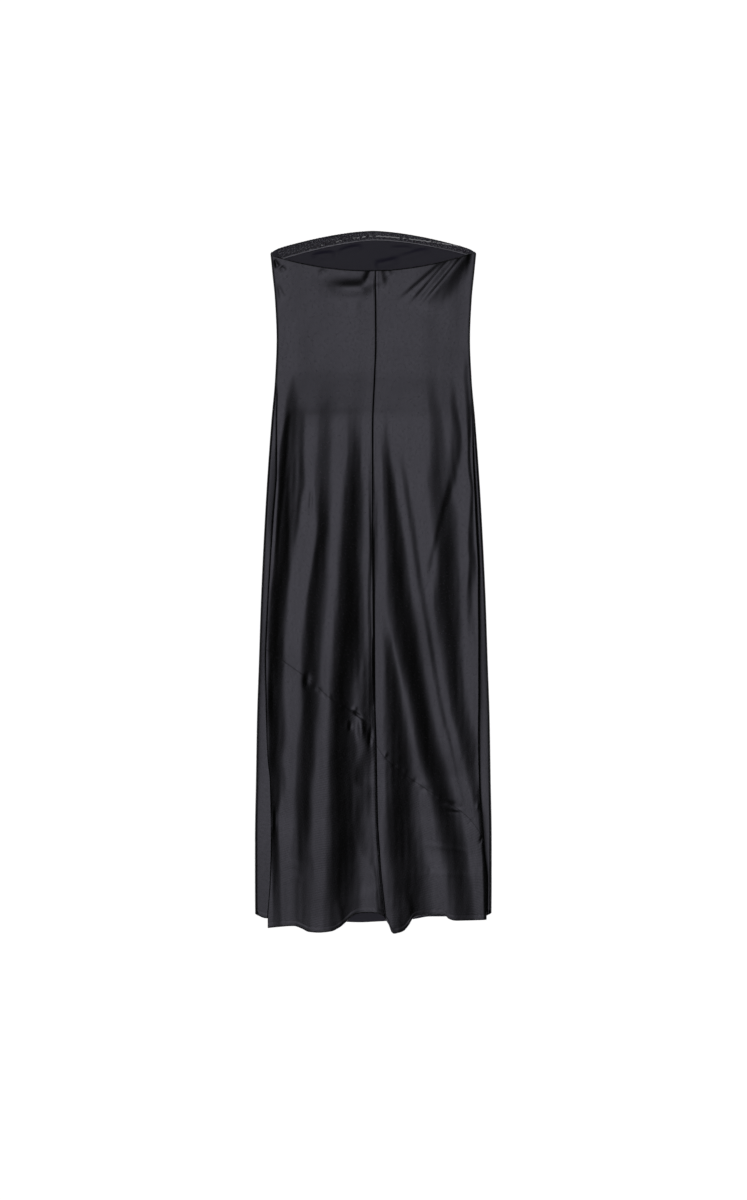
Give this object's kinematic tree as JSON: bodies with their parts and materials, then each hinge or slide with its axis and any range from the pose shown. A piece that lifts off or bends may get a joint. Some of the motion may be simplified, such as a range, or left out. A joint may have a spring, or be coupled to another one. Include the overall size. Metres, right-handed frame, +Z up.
{
  "type": "strapless maxi dress",
  "caption": "Bias-cut black satin strapless maxi dress laid flat, back up, with an elastic band inside the front neck and soft folds running down to the hem.",
  "frame": {"origin": "on the surface the dress lies on, under the middle of its outline", "axes": "+Y towards the neck along the dress, +Z up out of the surface, +X towards the wearer's right side, because the back lies up"},
  "size_m": [0.426, 1.2632, 0.0207],
  "materials": {
    "satin": "satin",
    "elastic": "matte",
    "silicone": "glossy",
    "zip_tape": "matte"
  },
  "bodies": {
    "root": {"front_panel": "satin", "back_left_upper": "satin", "back_left_lower": "satin", "back_right_upper": "satin", "back_right_lower": "satin", "front_neck_band": "elastic", "silicone_line": "silicone", "centre_back_zip": "zip_tape"}
  },
  "joints": []
}
